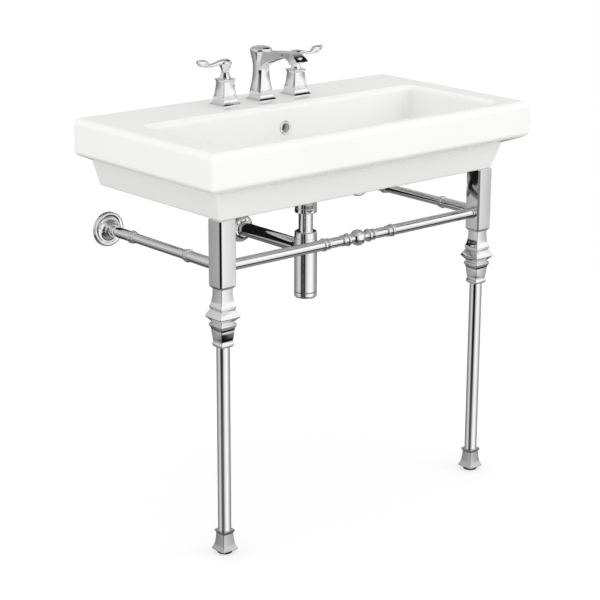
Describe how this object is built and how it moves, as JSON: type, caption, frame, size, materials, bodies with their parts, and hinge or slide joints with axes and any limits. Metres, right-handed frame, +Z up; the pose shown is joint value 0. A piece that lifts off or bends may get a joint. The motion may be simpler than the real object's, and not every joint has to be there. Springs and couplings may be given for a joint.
{
  "type": "console basin",
  "caption": "Rectangular white china basin fixed to the wall and carried by two polished turned legs with rails, with separate lever taps, a spout and a bottle trap.",
  "frame": {"origin": "on the wall plane, halfway between the two wall bolts, 790 mm above the floor", "axes": "+X to the right as seen from the room, +Y into the wall, +Z up"},
  "size_m": [0.9, 0.52, 1],
  "materials": {
    "vitreous_china": "glossy white glaze",
    "polished_chrome": "polished chrome plate over brass",
    "bare_brass": "machined",
    "copper_tube": "bright drawn copper, packed with the density of brass",
    "zinc_plated_steel": "zinc plated",
    "black_rubber": "matt",
    "white_vinyl": "soft, matt"
  },
  "bodies": {
    "basin_on_legs": {"basin": "vitreous_china", "overflow_ring": "polished_chrome", "drain_flange": "polished_chrome", "drain_body": "polished_chrome", "drain_gasket": "black_rubber", "drain_washer": "bare_brass", "drain_locknut": "bare_brass", "drain_plug_guide": "bare_brass", "tailpiece_nut": "polished_chrome", "tailpiece": "polished_chrome", "trap_inlet_nut": "polished_chrome", "trap_inlet_washer": "black_rubber", "trap_body": "polished_chrome", "trap_cup": "polished_chrome", "trap_cup_seal": "black_rubber", "waste_pipe": "polished_chrome", "waste_wall_flange": "polished_chrome", "spout": "polished_chrome", "spout_aerator": "polished_chrome", "spout_shank": "bare_brass", "deck_nuts": "bare_brass", "deck_washers": "black_rubber", "hot_valve_body": "bare_brass", "cold_valve_body": "bare_brass", "hot_cartridge": "bare_brass", "cold_cartridge": "bare_brass", "hot_handle_body": "polished_chrome", "cold_handle_body": "polished_chrome", "hot_link_tube": "copper_tube", "cold_link_tube": "copper_tube", "link_nuts": "bare_brass", "left_post": "polished_chrome", "right_post": "polished_chrome", "left_baluster": "polished_chrome", "right_baluster": "polished_chrome", "left_leg_tube": "polished_chrome", "right_leg_tube": "polished_chrome", "left_foot": "polished_chrome", "right_foot": "polished_chrome", "leg_tie_rods": "zinc_plated_steel", "leg_top_studs": "zinc_plated_steel", "leg_top_pads": "white_vinyl", "left_side_rail": "polished_chrome", "right_side_rail": "polished_chrome", "left_rail_flange": "polished_chrome", "right_rail_flange": "polished_chrome", "wall_anchors": "zinc_plated_steel", "front_rail_left": "polished_chrome", "front_rail_right": "polished_chrome", "front_rail_ball": "polished_chrome", "ball_stud": "zinc_plated_steel", "rail_bolts": "zinc_plated_steel"},
    "hot_handle": {"hot_lever": "polished_chrome", "hot_stem": "bare_brass"},
    "cold_handle": {"cold_lever": "polished_chrome", "cold_stem": "bare_brass"},
    "plug": {"drain_plug": "polished_chrome", "drain_plug_seal": "black_rubber"},
    "left_levelling_foot": {"left_leveller": "black_rubber"},
    "right_levelling_foot": {"right_leveller": "black_rubber"}
  },
  "joints": [
    {"name": "hot_lever_turn", "type": "hinge", "parent": "basin_on_legs", "child": "hot_handle", "pos_m": [-0.1016, -0.079, 0.162], "axis": [0, 0, 1], "range_deg": [0, 90]},
    {"name": "cold_lever_turn", "type": "hinge", "parent": "basin_on_legs", "child": "cold_handle", "pos_m": [0.1016, -0.079, 0.162], "axis": [0, 0, 1], "range_deg": [-90, 0]},
    {"name": "plug_slide", "type": "slide", "parent": "basin_on_legs", "child": "plug", "axis": [0, 0, 1], "range_m": [-0.008, 0]},
    {"name": "left_foot_screw", "type": "slide", "parent": "basin_on_legs", "child": "left_levelling_foot", "axis": [0, 0, 1], "range_m": [-0.015, 0]},
    {"name": "right_foot_screw", "type": "slide", "parent": "basin_on_legs", "child": "right_levelling_foot", "axis": [0, 0, 1], "range_m": [-0.015, 0]}
  ]
}
